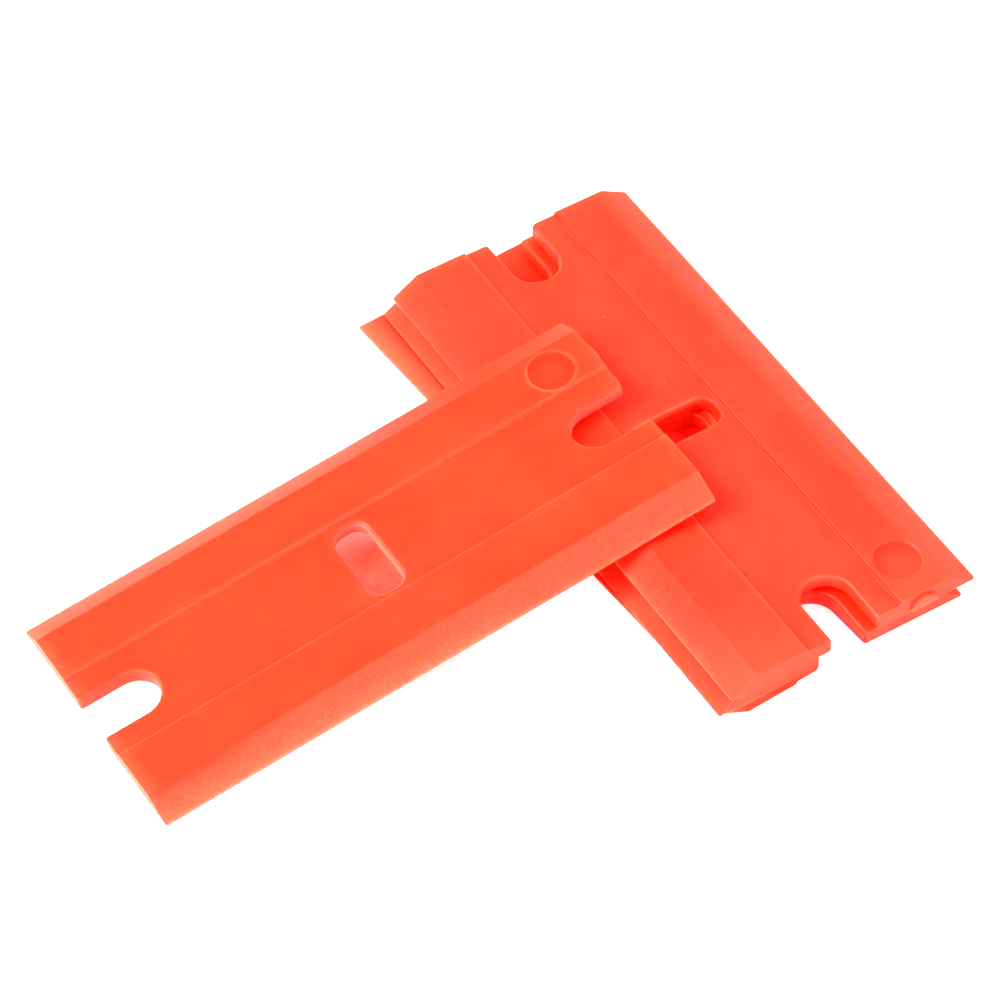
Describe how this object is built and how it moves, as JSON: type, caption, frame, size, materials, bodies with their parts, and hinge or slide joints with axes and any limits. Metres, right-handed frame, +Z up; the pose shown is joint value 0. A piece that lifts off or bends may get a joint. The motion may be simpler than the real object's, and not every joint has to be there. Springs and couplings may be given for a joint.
{
  "type": "set of loose plastic scraper blades",
  "caption": "Loose double-edged plastic blades for scraping algae off aquarium glass, lying in a flat stack with another leaning on it; bevelled long edges, notched ends and a cross slot.",
  "frame": {"origin": "on the floor, at the middle of the set's footprint", "axes": "+Z up from the floor, +X along the top blade of the stack towards its gate end, +Y from the leaning blade's foot towards the stack, so the leaning blade comes in from the front (-Y)"},
  "size_m": [0.045, 0.0546, 0.007],
  "materials": {
    "bottom_blade_plastic": "translucent orange-red, satin moulded faces with a finely grained bevel",
    "middle_blade_plastic": "translucent orange-red, satin moulded faces with a finely grained bevel",
    "top_blade_plastic": "translucent orange-red, satin moulded faces with a finely grained bevel",
    "leaning_blade_plastic": "translucent orange-red, satin moulded faces with a finely grained bevel"
  },
  "bodies": {
    "bottom_blade": {"bottom_blade": "bottom_blade_plastic"},
    "middle_blade": {"middle_blade": "middle_blade_plastic"},
    "top_blade": {"top_blade": "top_blade_plastic"},
    "leaning_blade": {"leaning_blade": "leaning_blade_plastic"}
  },
  "joints": [
    {"name": "lift_middle_blade", "type": "slide", "parent": "bottom_blade", "child": "middle_blade", "axis": [0, 0, 1], "range_m": [0, 0.02]},
    {"name": "lift_top_blade", "type": "slide", "parent": "middle_blade", "child": "top_blade", "axis": [0, 0, 1], "range_m": [0, 0.02]},
    {"name": "lift_leaning_blade", "type": "slide", "parent": "top_blade", "child": "leaning_blade", "axis": [0, 0, 1], "range_m": [0, 0.03]}
  ]
}
